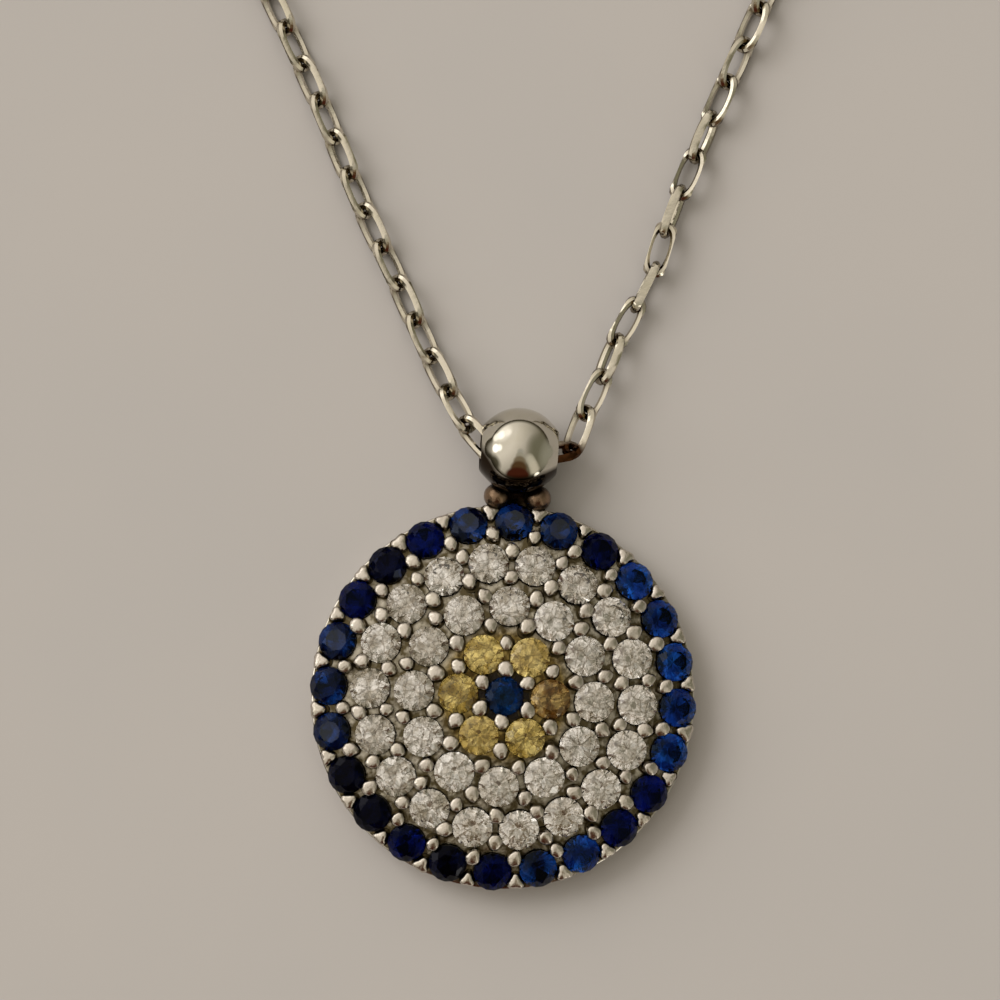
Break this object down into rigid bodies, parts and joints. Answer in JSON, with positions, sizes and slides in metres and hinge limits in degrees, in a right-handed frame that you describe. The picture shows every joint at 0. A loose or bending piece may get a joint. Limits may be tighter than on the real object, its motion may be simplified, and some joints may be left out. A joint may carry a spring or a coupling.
{
  "type": "evil eye pendant necklace",
  "caption": "Round domed pendant paved with rings of blue, clear and yellow stones, hung by a drilled ball bail on a fine cable chain with a ring clasp.",
  "frame": {"origin": "centre of the disc's flat back, on the surface that the necklace lies on", "axes": "+Z out of the side with the stones, +Y from the disc past its ball bail and on along the necklace, +X to the right"},
  "size_m": [0.1083, 0.1962, 0.0027],
  "materials": {
    "silver": "polished silver, slightly tarnished in its hollows",
    "blue_stone": "faceted sapphire blue stone",
    "yellow_stone": "faceted honey yellow stone",
    "clear_stone": "faceted clear stone"
  },
  "bodies": {
    "root": {"pave_setting": "silver", "stone_blue_01": "blue_stone", "stone_blue_02": "blue_stone", "stone_blue_03": "blue_stone", "stone_blue_04": "blue_stone", "stone_blue_05": "blue_stone", "stone_blue_06": "blue_stone", "stone_blue_07": "blue_stone", "stone_blue_08": "blue_stone", "stone_blue_09": "blue_stone", "stone_blue_10": "blue_stone", "stone_blue_11": "blue_stone", "stone_blue_12": "blue_stone", "stone_blue_13": "blue_stone", "stone_blue_14": "blue_stone", "stone_blue_15": "blue_stone", "stone_blue_16": "blue_stone", "stone_blue_17": "blue_stone", "stone_blue_18": "blue_stone", "stone_blue_19": "blue_stone", "stone_blue_20": "blue_stone", "stone_blue_21": "blue_stone", "stone_blue_22": "blue_stone", "stone_blue_23": "blue_stone", "stone_blue_24": "blue_stone", "stone_centre": "blue_stone", "stone_yellow_1": "yellow_stone", "stone_yellow_2": "yellow_stone", "stone_yellow_3": "yellow_stone", "stone_yellow_4": "yellow_stone", "stone_yellow_5": "yellow_stone", "stone_yellow_6": "yellow_stone", "chain_left": "silver", "chain_right": "silver", "clasp": "silver", "jump_ring": "silver"}
  },
  "joints": []
}
